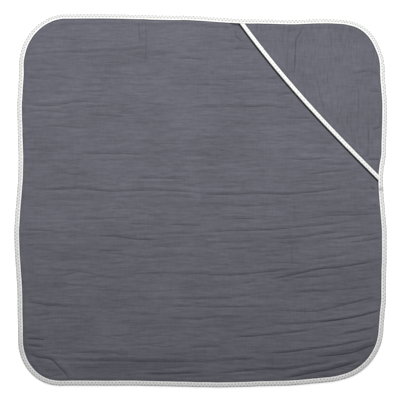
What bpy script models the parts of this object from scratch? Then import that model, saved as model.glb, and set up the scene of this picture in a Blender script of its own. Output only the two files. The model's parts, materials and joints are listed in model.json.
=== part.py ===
"""Hooded baby towel in crinkled muslin, laid flat with its hood closed.

The panel is two plies of muslin, and the hood is two more laid over the top-right corner.
A folded binding tape is sewn round the panel's edge, where it also catches the hood's two
outer edges, and a second tape binds the hood's free edge, which crosses the corner.

Cloth bends anywhere, so the towel is split where it bends in use: along the fold line that
runs from the hood's tip to the opposite corner, and along each hood seam's straight chord.
All those lines and the hood's centre line meet at one point, the apex, so that folding the
panel opens the hood into a pocket. The left half is fixed, and the right half folds up.

X runs to the right, Y runs up the towel and Z points up, with the origin under the middle.
Lengths are in millimetres, and one factor turns them into Blender's metres.
"""

import math

import bmesh
import bpy
from mathutils import Vector

MM = 0.001

# ---- The panel ----------------------------------------------------------------------
TOWEL_WIDTH = 750.0
TOWEL_LENGTH = 750.0
RADIUS_BOTTOM_RIGHT = 118.0
RADIUS_TOP_RIGHT = 90.0
RADIUS_TOP_LEFT = 106.0
RADIUS_BOTTOM_LEFT = 92.0

# Soft cloth never lies quite square. Each side sways in from the nominal square by the
# second number, in millimetres, at the first number's share of the side's half length.
SWAY_BOTTOM = ((-0.72, 3.5), (-0.38, 3.5), (0.12, 0.0), (0.42, 3.0), (0.78, 12.0))
SWAY_RIGHT = ((-0.72, 8.0), (-0.50, 2.0), (-0.20, 0.5), (0.12, 8.0), (0.28, 1.5), (0.50, 0.0),
              (0.70, 4.5), (0.86, 12.0))
SWAY_TOP = ((-0.50, 0.0), (-0.10, 3.0), (0.27, 10.0), (0.50, 11.5), (0.66, 9.3), (0.82, 12.0))
SWAY_LEFT = ((-0.80, 9.5), (-0.55, 8.0), (-0.18, 1.4), (0.19, 9.5), (0.50, 7.0), (0.70, 10.5))

# ---- The hood -----------------------------------------------------------------------
HOOD_LEG_TOP = 295.0        # from the panel's right side to where the hood tape meets the top edge
HOOD_LEG_SIDE = 334.0       # from the panel's top side to where it meets the right edge
HOOD_BOW = 9.2              # how far the free edge bows out towards the panel's middle
HOOD_BOW_PEAK = 0.45        # where it bows most, as a share of the way from the top edge

# ---- Cloth, tape and thread ---------------------------------------------------------
PLY = 0.5                   # one ply of double muslin
TAPE = 0.5                  # the binding tape's cloth
TAPE_WIDTH = 10.0           # the folded edge tape, from its fold to its inner edge
HOOD_TAPE_WIDTH = 8.0       # the same on the hood's free edge, which has a narrower tape
TAPE_FOLD_DEPTH = 1.2       # how far the fold's rounding reaches in
THREAD_WIDTH = 0.6
THREAD_HEIGHT = 0.25
THREAD_INSET = 1.5          # the stitch line, from the tape's inner edge
LAYER_GAP = 0.3             # air between two layers of cloth
PLY_INSET = 2.0             # from the tape's fold to a ply's cut edge

LABEL_WIDTH = 30.0
LABEL_LENGTH = 45.0
LABEL_THICKNESS = 0.2
LABEL_PLACE = -0.30         # along the left side, as a share of its half length

# ---- How it moves -------------------------------------------------------------------
FOLD_MAX = 60.0             # degrees that the right half folds up
SEAM_MARGIN = 6.0           # the hood seam's chords stay this far inside the edge tape
HINGE_GAP = 0.3             # between two pieces that meet on a hinge line
MITRE_GAP = 0.05            # each leaning cut stays this far back, so that a full fold just closes
APEX_TRIM = 6.0             # cut off each hood half's tip, where all the hinge lines meet

# ---- Levels: each layer lies on the one below ---------------------------------------
BACK_LOW = TAPE + LAYER_GAP
FACE_LOW = BACK_LOW + PLY + LAYER_GAP
PANEL_TOP = FACE_LOW + PLY
HINGE_LEVEL = PANEL_TOP + LAYER_GAP / 2
UNDER_TAPE_LOW = PANEL_TOP + LAYER_GAP
LINING_LOW = UNDER_TAPE_LOW + TAPE + LAYER_GAP
HOOD_FACE_LOW = LINING_LOW + PLY + LAYER_GAP
HOOD_TAPE_TOP = HOOD_FACE_LOW + PLY + LAYER_GAP + TAPE
EDGE_TOP_PANEL = PANEL_TOP + LAYER_GAP + TAPE
EDGE_TOP_HOOD = HOOD_TAPE_TOP
EDGE_TOP_CROSSING = HOOD_TAPE_TOP + LAYER_GAP + TAPE

# ---- How finely curves are stepped --------------------------------------------------
SIDE_STEP = 26.0
CORNER_STEP = 12.0
CROSSING_STEP = 5.0
CROSSING_REACH = 13.0       # the edge tape stays at its full height this far each side
CROSSING_RAMP = 10.0        # and comes down over this length
HOOD_TAPE_STEPS = 26
FOLD_ANGLES = (-90.0, -45.0, 0.0, 45.0, 90.0)

COLOURS = {"muslin": (0.115, 0.118, 0.138), "tape": (0.80, 0.80, 0.79),
           "thread": (0.86, 0.86, 0.85), "label": (0.84, 0.84, 0.82)}
ROUGHNESS = {"muslin": 0.95, "tape": 0.85, "thread": 0.7, "label": 0.8}


# ---- Plane curves -------------------------------------------------------------------
def wave(stations, place):
    """A smooth wave through (place, value) stations, level at each one and past the ends."""
    if place <= stations[0][0]:
        return stations[0][1]
    for (start, low), (end, high) in zip(stations, stations[1:]):
        if place <= end:
            share = (place - start) / (end - start)
            return low + (high - low) * share * share * (3 - 2 * share)
    return stations[-1][1]


def ramp(distance):
    """0 within the crossing's reach, rising smoothly to 1 over its ramp."""
    share = min(max((distance - CROSSING_REACH) / CROSSING_RAMP, 0.0), 1.0)
    return share * share * (3 - 2 * share)


def turned_left(vector):
    return Vector((-vector.y, vector.x))


def heading(degrees):
    return Vector((math.cos(math.radians(degrees)), math.sin(math.radians(degrees))))


def perimeter_runs():
    """The nominal rounded square as straight sides and arcs, counter-clockwise from the
    bottom side's left end: (length, start point or arc centre, start heading, radius)."""
    right, top = TOWEL_WIDTH / 2, TOWEL_LENGTH / 2
    corners = ((right, -top, RADIUS_BOTTOM_RIGHT), (right, top, RADIUS_TOP_RIGHT),
               (-right, top, RADIUS_TOP_LEFT), (-right, -top, RADIUS_BOTTOM_LEFT))
    runs = []
    for index, (x, y, radius) in enumerate(corners):
        along = heading(90.0 * index)
        before = corners[index - 1]
        start = Vector(before[:2]) + along * before[2]
        end = Vector((x, y)) - along * radius
        runs.append(((end - start).length, start, 90.0 * index, 0.0))
        runs.append((radius * math.pi / 2, end + turned_left(along) * radius, 90.0 * index, radius))
    return runs


RUNS = perimeter_runs()
BOTTOM_SIDE, RIGHT_SIDE, TOP_SIDE, LEFT_SIDE = 0, 2, 4, 6


def run_start(index):
    return sum(run[0] for run in RUNS[:index])


PERIMETER = run_start(len(RUNS))


def nominal(u):
    """The nominal outline's point and outward normal, u millimetres round from its start."""
    u %= PERIMETER
    for length, anchor, angle, radius in RUNS:
        if u <= length:
            break
        u -= length
    if radius == 0.0:
        return anchor + heading(angle) * u, heading(angle - 90.0)
    out = heading(angle - 90.0 + math.degrees(u / radius))
    return anchor + out * radius, out


def edge_point(u):
    """The swaying outline's point: each side pushed in along its own normal."""
    point, out = nominal(u)
    across, up = 2 * point.x / TOWEL_WIDTH, 2 * point.y / TOWEL_LENGTH
    push_x = max(-out.x, 0) * wave(SWAY_LEFT, up) - max(out.x, 0) * wave(SWAY_RIGHT, up)
    push_y = max(-out.y, 0) * wave(SWAY_BOTTOM, across) - max(out.y, 0) * wave(SWAY_TOP, across)
    return point + Vector((push_x, push_y))


def edge_inward(u):
    tangent = edge_point(u + 0.5) - edge_point(u - 0.5)
    return turned_left(tangent).normalized()


def inset_point(u, inset):
    return edge_point(u) + edge_inward(u) * inset


# The hood tape meets the edge tape at these two places on the outline.
TOP_CROSSING = run_start(TOP_SIDE) + (RUNS[TOP_SIDE][1].x - (TOWEL_WIDTH / 2 - HOOD_LEG_TOP))
SIDE_CROSSING = run_start(RIGHT_SIDE) + ((TOWEL_LENGTH / 2 - HOOD_LEG_SIDE) - RUNS[RIGHT_SIDE][1].y)
CORNER_MIDDLE = run_start(TOP_SIDE) - RUNS[TOP_SIDE - 1][0] / 2


def outline_stations():
    """Where the outline is stepped: evenly on each run, and closely at the two crossings."""
    fine_reach = CROSSING_REACH + CROSSING_RAMP
    stations = []
    for index, (length, _, _, radius) in enumerate(RUNS):
        steps = math.ceil(length / (CORNER_STEP if radius else SIDE_STEP))
        stations += [run_start(index) + length * step / steps for step in range(steps)]
    crossings = (TOP_CROSSING, SIDE_CROSSING)
    stations = [u for u in stations if all(abs(u - crossing) > fine_reach + 2 for crossing in crossings)]
    fine_steps = round(fine_reach / CROSSING_STEP)
    for crossing in crossings:
        stations += [crossing + fine_reach * step / fine_steps for step in range(-fine_steps, fine_steps + 1)]
    return sorted(stations)


STATIONS = outline_stations()


def edge_top(u):
    """The edge tape's top: low on the panel, higher over the hood, highest at a crossing."""
    inside = SIDE_CROSSING < u < TOP_CROSSING
    beside = EDGE_TOP_HOOD if inside else EDGE_TOP_PANEL
    nearest = min(abs(u - SIDE_CROSSING), abs(u - TOP_CROSSING))
    return EDGE_TOP_CROSSING + (beside - EDGE_TOP_CROSSING) * ramp(nearest)


def hood_edge_frames(steps, overrun):
    """The hood tape's centre line as (point, direction towards the corner), from the top
    edge to the right edge, with a straight overrun at each end."""
    start = inset_point(TOP_CROSSING, TAPE_WIDTH / 2)
    end = inset_point(SIDE_CROSSING, TAPE_WIDTH / 2)
    along = (end - start).normalized()
    corner_side = turned_left(along)
    shape = math.log(0.5) / math.log(HOOD_BOW_PEAK)
    shares = [step / steps for step in range(steps + 1)]
    line = [start.lerp(end, share) - corner_side * HOOD_BOW * math.sin(math.pi * share ** shape)
            for share in shares]
    line.insert(0, line[0] - (line[1] - line[0]).normalized() * overrun)
    line.append(line[-1] + (line[-1] - line[-2]).normalized() * overrun)
    frames = []
    for index, point in enumerate(line):
        tangent = line[min(index + 1, len(line) - 1)] - line[max(index - 1, 0)]
        frames.append((point, turned_left(tangent).normalized()))
    return frames


# ---- Hinge lines --------------------------------------------------------------------
CHORD_INSET = TAPE_WIDTH + SEAM_MARGIN
APEX = inset_point(CORNER_MIDDLE, CHORD_INSET)
LEFT_CHORD = (inset_point(TOP_CROSSING, CHORD_INSET) - APEX).normalized()
RIGHT_CHORD = (inset_point(SIDE_CROSSING, CHORD_INSET) - APEX).normalized()
FOLD_LINE = (LEFT_CHORD + RIGHT_CHORD).normalized()
SECTOR = math.acos(LEFT_CHORD.dot(FOLD_LINE))
SEAM_MAX = 2 * math.degrees(math.atan(math.tan(math.radians(FOLD_MAX / 2)) / math.cos(SECTOR)))
SEAM_RATIO = SEAM_MAX / FOLD_MAX


def crossing_angle(fold):
    """How far, in radians, a hood half's centre edge leans over the towel's middle plane
    when the panel is folded by so many degrees and the seam turns at its steady ratio."""
    half = math.radians(fold) / 2
    seam = math.radians(fold * SEAM_RATIO)
    lean = math.sin(half) * math.sin(seam) - math.cos(half) * math.cos(SECTOR) * (1 - math.cos(seam))
    return math.sin(SECTOR) * lean


WEDGE = max(crossing_angle(float(fold)) for fold in range(int(FOLD_MAX) + 1))


def left_of_fold(side):
    """The horizontal normal of the fold line that points into one half, +1 left, -1 right."""
    return turned_left(FOLD_LINE) * -side


def lying(vector, level=0.0):
    return Vector((vector.x, vector.y, level))


def hinge_planes(direction, inward, opening):
    """Two planes that keep a piece on one side of a hinge line through the apex: upright
    below the hinge's level, and leaning back by half the opening angle above it."""
    lean = math.radians(opening / 2)
    upright = (lying(APEX + inward * HINGE_GAP / 2), lying(inward))
    mitre = (lying(APEX + inward * MITRE_GAP, HINGE_LEVEL), lying(inward * math.cos(lean), -math.sin(lean)))
    return [upright, mitre]


def half_planes(side):
    return hinge_planes(FOLD_LINE, left_of_fold(side), FOLD_MAX)


def chord_inward(side):
    """From a half's seam chord towards the hood's middle."""
    return turned_left(LEFT_CHORD) if side > 0 else -turned_left(RIGHT_CHORD)


def margin_planes(side):
    """What stays with the panel half: outside the seam's chord."""
    chord = LEFT_CHORD if side > 0 else RIGHT_CHORD
    return half_planes(side) + hinge_planes(chord, -chord_inward(side), SEAM_MAX)


def hood_planes(side):
    """What turns with the hood half: inside the chord, a wedge short of the centre line."""
    chord = LEFT_CHORD if side > 0 else RIGHT_CHORD
    out = left_of_fold(side)
    wedged = (out * math.cos(WEDGE) - FOLD_LINE * math.sin(WEDGE)).normalized()
    centre = (lying(APEX + out * HINGE_GAP / 2), lying(wedged))
    tip = (lying(APEX + FOLD_LINE * APEX_TRIM), lying(FOLD_LINE))
    return hinge_planes(chord, chord_inward(side), SEAM_MAX) + [centre, tip]


# ---- Solids -------------------------------------------------------------------------
def plate(points, low, high):
    """A flat solid over a counter-clockwise outline."""
    bm = bmesh.new()
    rim = [bm.verts.new(lying(point, low)) for point in points]
    base = bm.faces.new(rim)
    raised = bmesh.ops.extrude_face_region(bm, geom=[base])
    top = [item for item in raised["geom"] if isinstance(item, bmesh.types.BMVert)]
    bmesh.ops.translate(bm, verts=top, vec=(0, 0, high - low))
    return bm


def sweep(rings, closed):
    """A solid through rings of points, joined end to end or capped at both ends."""
    bm = bmesh.new()
    loops = [[bm.verts.new(point) for point in ring] for ring in rings]
    pairs = list(zip(loops, loops[1:]))
    if closed:
        pairs.append((loops[-1], loops[0]))
    count = len(loops[0])
    for here, there in pairs:
        for index in range(count):
            after = (index + 1) % count
            bm.faces.new((here[index], here[after], there[after], there[index]))
    if not closed:
        bm.faces.new(loops[0])
        bm.faces.new(loops[-1])
    return bm


def ring(point, inward, section):
    """A section's (depth, height) points set upright at a point, depth running inward."""
    return [lying(point + inward * depth, height) for depth, height in section]


def folded_tape(low, top, width):
    """The U of a folded tape, open towards its inner edge."""
    middle, half = (low + top) / 2, (top - low) / 2
    section = [(width, low)]
    for angle in map(math.radians, FOLD_ANGLES):
        section.append((TAPE_FOLD_DEPTH * (1 - math.cos(angle)), middle + half * math.sin(angle)))
    section += [(width, top), (width, top - TAPE)]
    inner_depth = TAPE_FOLD_DEPTH - TAPE / 3
    for angle in map(math.radians, reversed(FOLD_ANGLES[::2])):
        section.append((TAPE + inner_depth * (1 - math.cos(angle)), middle + (half - TAPE) * math.sin(angle)))
    section.append((width, low + TAPE))
    return section


def stitch_line(top, width):
    """The thread that lies on a tape, near its inner edge."""
    low, high = top + LAYER_GAP, top + LAYER_GAP + THREAD_HEIGHT
    near = width - THREAD_INSET - THREAD_WIDTH
    return [(near + THREAD_WIDTH, low), (near, low), (near, high), (near + THREAD_WIDTH, high)]


def cut(bm, planes):
    """Keep what lies on every plane's normal side, and close each cut."""
    for point, normal in planes:
        parts = bm.verts[:] + bm.edges[:] + bm.faces[:]
        made = bmesh.ops.bisect_plane(bm, geom=parts, dist=1e-5, plane_co=point, plane_no=-normal,
                                      clear_outer=True)
        rim = [item for item in made["geom_cut"] if isinstance(item, bmesh.types.BMEdge)]
        if rim:
            bmesh.ops.holes_fill(bm, edges=rim, sides=0)
    return bm


def hood_outline():
    """The hood ply's cut edge: the panel's outline round the corner, closed along the free
    edge inside the hood tape's fold."""
    free_edge = [point - inward * (HOOD_TAPE_WIDTH / 2 - PLY_INSET)
                 for point, inward in hood_edge_frames(HOOD_TAPE_STEPS, 2 * TAPE_WIDTH)]
    edge = [inset_point(u, PLY_INSET) for u in STATIONS]
    first = first_crossing(edge, free_edge[::-1])
    last = first_crossing(edge[::-1], free_edge)
    round_corner = edge[first[0] + 1:len(edge) - 1 - last[0]]
    along_free = free_edge[last[1] + 1:len(free_edge) - 1 - first[1]]
    return [first[2]] + round_corner + [last[2]] + along_free


def first_crossing(edge, line):
    """Where a line first meets the edge, from the line's start: both segments, and the point."""
    for line_index, (start, end) in enumerate(zip(line, line[1:])):
        for edge_index, (low, high) in enumerate(zip(edge, edge[1:])):
            span, step = end - start, high - low
            scale = span.cross(step)
            along_line = (low - start).cross(step) / scale
            along_edge = (low - start).cross(span) / scale
            if 0 <= along_line <= 1 and 0 <= along_edge <= 1:
                return edge_index, line_index, start + span * along_line
    raise ValueError("the hood's free edge does not reach the panel's edge")


# ---- Objects ------------------------------------------------------------------------
def material(slot):
    made = bpy.data.materials.get(slot) or bpy.data.materials.new(slot)
    made.use_nodes = True
    shader = made.node_tree.nodes["Principled BSDF"]
    shader.inputs["Base Color"].default_value = (*COLOURS[slot], 1.0)
    shader.inputs["Roughness"].default_value = ROUGHNESS[slot]
    shader.inputs["Metallic"].default_value = 0.0
    return made


def body_empty(name, parent):
    """An empty at the apex, which all of a body's hinge lines pass through."""
    empty = bpy.data.objects.new(name, None)
    bpy.context.scene.collection.objects.link(empty)
    if parent is None:
        empty.location = lying(APEX, HINGE_LEVEL) * MM
    empty.parent = parent
    return empty


def add(name, bm, slot, body):
    """One named solid from a mesh in millimetres, carried by its body's empty."""
    origin = lying(APEX, HINGE_LEVEL)
    bmesh.ops.remove_doubles(bm, verts=bm.verts, dist=1e-4)
    bmesh.ops.dissolve_degenerate(bm, dist=1e-4, edges=bm.edges)
    bmesh.ops.recalc_face_normals(bm, faces=bm.faces)
    for vert in bm.verts:
        vert.co = (vert.co - origin) * MM
    mesh = bpy.data.meshes.new(name)
    bm.to_mesh(mesh)
    bm.free()
    mesh.materials.append(material(slot))
    mesh.shade_smooth()
    mesh.set_sharp_from_angle(angle=math.radians(30))
    made = bpy.data.objects.new(name, mesh)
    made.parent = body
    bpy.context.scene.collection.objects.link(made)


def panel_half(name, side, body):
    """One half of the panel: two plies and the tape and thread round their edge."""
    cut_edge = [inset_point(u, PLY_INSET) for u in STATIONS]
    planes = half_planes(side)
    add(name + "_back_ply", cut(plate(cut_edge, BACK_LOW, BACK_LOW + PLY), planes), "muslin", body)
    add(name + "_face_ply", cut(plate(cut_edge, FACE_LOW, FACE_LOW + PLY), planes), "muslin", body)
    tape_rings = [ring(edge_point(u), edge_inward(u), folded_tape(0.0, edge_top(u), TAPE_WIDTH)) for u in STATIONS]
    add(name + "_edge_tape", cut(sweep(tape_rings, closed=True), planes), "tape", body)
    thread_rings = [ring(edge_point(u), edge_inward(u), stitch_line(edge_top(u), TAPE_WIDTH)) for u in STATIONS]
    add(name + "_edge_thread", cut(sweep(thread_rings, closed=True), planes), "thread", body)


def hood_tape_rings():
    section = folded_tape(UNDER_TAPE_LOW, HOOD_TAPE_TOP, HOOD_TAPE_WIDTH)
    return [ring(point - inward * HOOD_TAPE_WIDTH / 2, inward, section)
            for point, inward in hood_edge_frames(HOOD_TAPE_STEPS, 2 * TAPE_WIDTH)]


def hood_margin(name, side, body):
    """The hood's outer edge, which the edge tape holds to the panel half."""
    planes = margin_planes(side)
    outline = hood_outline()
    add(name + "_hood_margin_lining", cut(plate(outline, LINING_LOW, LINING_LOW + PLY), planes), "muslin", body)
    add(name + "_hood_margin_face", cut(plate(outline, HOOD_FACE_LOW, HOOD_FACE_LOW + PLY), planes), "muslin", body)
    crossing = TOP_CROSSING if side > 0 else SIDE_CROSSING
    tucked_end = (lying(inset_point(crossing, PLY_INSET)), lying(edge_inward(crossing)))
    far_end = hinge_planes(FOLD_LINE, left_of_fold(side), 0.0)[:1]
    ending = cut(sweep(hood_tape_rings(), closed=False), far_end + planes[2:] + [tucked_end])
    add(name + "_hood_tape_end", ending, "tape", body)


def hood_half(name, side, body):
    """One half of the hood inside its seam's chord: two plies, tape and thread."""
    planes = hood_planes(side)
    outline = hood_outline()
    add(name + "_hood_lining", cut(plate(outline, LINING_LOW, LINING_LOW + PLY), planes), "muslin", body)
    add(name + "_hood_face", cut(plate(outline, HOOD_FACE_LOW, HOOD_FACE_LOW + PLY), planes), "muslin", body)
    add(name + "_hood_tape", cut(sweep(hood_tape_rings(), closed=False), planes), "tape", body)
    section = stitch_line(HOOD_TAPE_TOP, HOOD_TAPE_WIDTH)
    thread_rings = [ring(point - inward * HOOD_TAPE_WIDTH / 2, inward, section)
                    for point, inward in hood_edge_frames(HOOD_TAPE_STEPS, 0.5 * TAPE_WIDTH)]
    add(name + "_hood_thread", cut(sweep(thread_rings, closed=False), planes), "thread", body)


def care_label(body):
    """A blank label that lies under the back ply, from the edge tape's inner edge inward."""
    u = run_start(LEFT_SIDE) + RUNS[LEFT_SIDE][1].y - LABEL_PLACE * TOWEL_LENGTH / 2
    start, inward = inset_point(u, TAPE_WIDTH + HINGE_GAP), edge_inward(u)
    across = turned_left(inward) * LABEL_WIDTH / 2
    end = start + inward * LABEL_LENGTH
    low = (BACK_LOW - LABEL_THICKNESS) / 2
    corners = (start - across, end - across, end + across, start + across)
    add("care_label", plate(corners, low, low + LABEL_THICKNESS), "label", body)


def main():
    for old in list(bpy.data.objects):
        bpy.data.objects.remove(old, do_unlink=True)
    left_half = body_empty("left_half", None)
    right_half = body_empty("right_half", left_half)
    for name, side, half in (("left", 1, left_half), ("right", -1, right_half)):
        panel_half(name, side, half)
        hood_margin(name, side, half)
        hood_half(name, side, body_empty("hood_" + name, half))
    care_label(left_half)


main()
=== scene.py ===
# %% [markdown]
# # A hooded baby towel in crinkled muslin
#
# The real towel is very simple: a square of dark grey double muslin, a triangle of the same
# cloth laid over one corner as a hood, and a white knitted binding tape that wraps every raw
# edge. All its character is in the cloth. Muslin is washed until it crinkles, so the surface
# is covered in fine creases that run across it, and the soft tape never lies quite straight.
#
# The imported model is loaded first. It holds the towel's size, its layers and its hinges, and
# every piece that follows is built around it, in the same frame and in metres.

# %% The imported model
import json
import math

import bmesh
import bpy
import numpy as np
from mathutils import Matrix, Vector
from mathutils.kdtree import KDTree


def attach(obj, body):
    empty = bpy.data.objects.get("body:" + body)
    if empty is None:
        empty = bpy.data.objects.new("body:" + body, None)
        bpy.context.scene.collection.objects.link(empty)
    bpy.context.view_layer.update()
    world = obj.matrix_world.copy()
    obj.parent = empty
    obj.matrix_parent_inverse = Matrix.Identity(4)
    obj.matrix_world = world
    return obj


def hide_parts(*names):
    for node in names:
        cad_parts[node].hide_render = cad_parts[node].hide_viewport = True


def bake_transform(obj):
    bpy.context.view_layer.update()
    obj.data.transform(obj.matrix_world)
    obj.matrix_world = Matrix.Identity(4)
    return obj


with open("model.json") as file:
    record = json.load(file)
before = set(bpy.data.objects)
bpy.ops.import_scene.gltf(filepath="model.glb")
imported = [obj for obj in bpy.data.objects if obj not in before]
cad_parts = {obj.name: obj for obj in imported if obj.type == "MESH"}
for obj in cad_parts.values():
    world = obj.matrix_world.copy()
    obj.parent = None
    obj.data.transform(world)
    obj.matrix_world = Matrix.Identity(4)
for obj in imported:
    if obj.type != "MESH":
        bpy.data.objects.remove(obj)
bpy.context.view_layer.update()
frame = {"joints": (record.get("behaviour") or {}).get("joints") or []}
MM = 0.001
bpy.context.scene.view_settings.view_transform = "Standard"
bpy.context.scene.view_settings.look = "None"

# %% [markdown]
# ## The studio
#
# The towel lies on a plain white table and is looked at from straight above. A long lens from
# far away shows it without perspective, as a flat pattern. The main light is a wide soft box
# beyond the hood's side, quite low, so that it rakes across the creases, and each crease gets
# a light flank and a dark one. A weak box overhead and a pale sky fill the shadows.

# %% The floor
FLOOR_SIZE, FLOOR_DROP = 14.0, 0.0004


def set_sockets(node, values):
    """Give a node's sockets their constant values, by name."""
    for name, value in values.items():
        node.inputs[name].default_value = value


bpy.ops.object.select_all(action="DESELECT")
bpy.ops.mesh.primitive_plane_add(size=FLOOR_SIZE, location=(0, 0, -FLOOR_DROP))
floor = bpy.context.object
floor.name = "table_top"
floor_paint = bpy.data.materials.new("white_table")
floor_paint.use_nodes = True
set_sockets(floor_paint.node_tree.nodes["Principled BSDF"],
            {"Base Color": (0.93, 0.93, 0.93, 1), "Roughness": 0.9, "Specular IOR Level": 0.1,
             "Emission Color": (1, 1, 1, 1), "Emission Strength": 0.55})
floor.data.materials.append(floor_paint)
print("floor ready")

# %% The camera and the lights
CAMERA_LENS = 200.0
VIEW_WIDTH = 0.8030             # what the camera sees of the table, in metres
camera_data = bpy.data.cameras.new("camera")
camera_data.lens = CAMERA_LENS
camera = bpy.data.objects.new("camera", camera_data)
camera.location = (-0.0008, 0.001, VIEW_WIDTH * CAMERA_LENS / camera_data.sensor_width)
camera_data.clip_end = 50.0
bpy.context.scene.collection.objects.link(camera)
bpy.context.scene.camera = camera


def soft_box(name, place, aim, size, power):
    """A rectangular area light at a place, turned to face its aim."""
    data = bpy.data.lights.new(name, "AREA")
    data.shape = "RECTANGLE"
    data.size, data.size_y = size
    data.energy = power
    light = bpy.data.objects.new(name, data)
    light.location = place
    light.rotation_euler = (Vector(aim) - Vector(place)).to_track_quat("-Z", "Y").to_euler()
    bpy.context.scene.collection.objects.link(light)
    return light


soft_box("key_box", (0.1, 1.9, 1.25), (0, 0.05, 0), (1.6, 0.7), 39.0)
soft_box("top_box", (0, 0.15, 0.80), (0, 0.15, 0), (2.4, 0.5), 6.6)
sky = bpy.data.worlds.new("sky")
bpy.context.scene.world = sky
sky.use_nodes = True
set_sockets(sky.node_tree.nodes["Background"], {"Color": (0.97, 0.98, 1.0, 1), "Strength": 0.13})
print("camera at", [round(value, 3) for value in camera.location])

# %% [markdown]
# ## The outline
#
# Everything follows one line: the outer edge of the binding tape. It is a rounded square
# whose four corners have their own radii, because soft corners never match, and whose sides
# sway in and out by a few millimetres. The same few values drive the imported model, so a walk
# round this outline, measured in millimetres from the bottom left, lands on its tape.

# %% A rounded square that sways
TOWEL_WIDTH, TOWEL_LENGTH = 750.0, 750.0
CORNER_RADII = (118.0, 90.0, 106.0, 92.0)      # bottom right, top right, top left, bottom left
SWAY_BOTTOM = ((-0.72, 3.5), (-0.38, 3.5), (0.12, 0.0), (0.42, 3.0), (0.78, 12.0))
SWAY_RIGHT = ((-0.72, 8.0), (-0.50, 2.0), (-0.20, 0.5), (0.12, 8.0), (0.28, 1.5), (0.50, 0.0),
              (0.70, 4.5), (0.86, 12.0))
SWAY_TOP = ((-0.50, 0.0), (-0.10, 3.0), (0.27, 10.0), (0.50, 11.5), (0.66, 9.3), (0.82, 12.0))
SWAY_LEFT = ((-0.80, 9.5), (-0.55, 8.0), (-0.18, 1.4), (0.19, 9.5), (0.50, 7.0), (0.70, 10.5))


def ease(share):
    """0 to 1 with a level start and end, for numbers or arrays."""
    share = np.clip(share, 0.0, 1.0)
    return share * share * (3 - 2 * share)


def wave(stations, place):
    """A smooth wave through (place, value) stations, level at each one and past the ends."""
    if place <= stations[0][0]:
        return stations[0][1]
    for (start, low), (end, high) in zip(stations, stations[1:]):
        if place <= end:
            return low + (high - low) * ease((place - start) / (end - start))
    return stations[-1][1]


def turned_left(vector):
    return Vector((-vector.y, vector.x))


def heading(degrees):
    return Vector((math.cos(math.radians(degrees)), math.sin(math.radians(degrees))))


def perimeter_runs():
    """Four sides and four arcs, counter-clockwise: (length, start or centre, heading, radius)."""
    right, top = TOWEL_WIDTH / 2, TOWEL_LENGTH / 2
    corners = ((right, -top), (right, top), (-right, top), (-right, -top))
    runs = []
    for index, corner in enumerate(corners):
        along = heading(90.0 * index)
        start = Vector(corners[index - 1]) + along * CORNER_RADII[index - 1]
        end = Vector(corner) - along * CORNER_RADII[index]
        radius = CORNER_RADII[index]
        centre = end + turned_left(along) * radius
        runs.append(((end - start).length, start, 90.0 * index, 0.0))
        runs.append((radius * math.pi / 2, centre, 90.0 * index, radius))
    return runs


RUNS = perimeter_runs()
PERIMETER = sum(run[0] for run in RUNS)


def run_start(index):
    return sum(run[0] for run in RUNS[:index])


def edge_point(u):
    """The outer edge, u millimetres round, each side pushed in by its own sway."""
    u %= PERIMETER
    for length, anchor, angle, radius in RUNS:
        if u <= length:
            break
        u -= length
    if radius == 0.0:
        point, out = anchor + heading(angle) * u, heading(angle - 90.0)
    else:
        out = heading(angle - 90.0 + math.degrees(u / radius))
        point = anchor + out * radius
    across, up = 2 * point.x / TOWEL_WIDTH, 2 * point.y / TOWEL_LENGTH
    push_x = max(-out.x, 0) * wave(SWAY_LEFT, up) - max(out.x, 0) * wave(SWAY_RIGHT, up)
    push_y = max(-out.y, 0) * wave(SWAY_BOTTOM, across) - max(out.y, 0) * wave(SWAY_TOP, across)
    return point + Vector((push_x, push_y))


def edge_inward(u):
    return turned_left(edge_point(u + 0.5) - edge_point(u - 0.5)).normalized()


def edge_line(places, inset):
    """Points this far inside the outer edge, as an array of x and y."""
    return np.array([edge_point(u) + edge_inward(u) * inset for u in places])


print("the outline is", round(PERIMETER), "mm round and spans",
      np.ptp(edge_line(np.linspace(0, PERIMETER, 800), 0.0), axis=0).round(1), "mm")

# %% [markdown]
# ## Where the hood lies and where the towel folds
#
# The hood tape leaves the top edge, crosses the corner in a gentle bow and ends at the right
# edge. The towel folds along a line from the hood's tip to the far corner. The hinge lines
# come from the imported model: one for that fold and one along each of the hood's two seams.

# %% The hood's free edge
HOOD_LEG_TOP, HOOD_LEG_SIDE = 295.0, 334.0
HOOD_BOW, HOOD_BOW_PEAK = 9.2, 0.45
TAPE_WIDTH, HOOD_TAPE_WIDTH = 10.0, 8.0
TOP_CROSSING = run_start(4) + RUNS[4][1].x - (TOWEL_WIDTH / 2 - HOOD_LEG_TOP)
SIDE_CROSSING = run_start(2) + (TOWEL_LENGTH / 2 - HOOD_LEG_SIDE) - RUNS[2][1].y


def hood_line(shares, offset=0.0):
    """The hood tape's centre line from the top edge (0) to the right edge (1), moved towards
    the towel's middle by an offset. Shares past either end run straight on."""
    start, end = edge_line((TOP_CROSSING, SIDE_CROSSING), TAPE_WIDTH / 2)
    along = (end - start) / np.linalg.norm(end - start)
    middle_side = np.array((along[1], -along[0]))
    shape = math.log(0.5) / math.log(HOOD_BOW_PEAK)

    def on_bow(share):
        inside = np.clip(share, 0.0, 1.0)
        bow = HOOD_BOW * np.sin(math.pi * inside ** shape)
        return start + np.outer(share, end - start) + np.outer(bow, middle_side)

    shares = np.asarray(shares, float)
    tangent = on_bow(shares + 0.002) - on_bow(shares - 0.002)
    tangent /= np.linalg.norm(tangent, axis=1)[:, None]
    return on_bow(shares) + offset * np.stack((tangent[:, 1], -tangent[:, 0]), axis=1)

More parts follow.
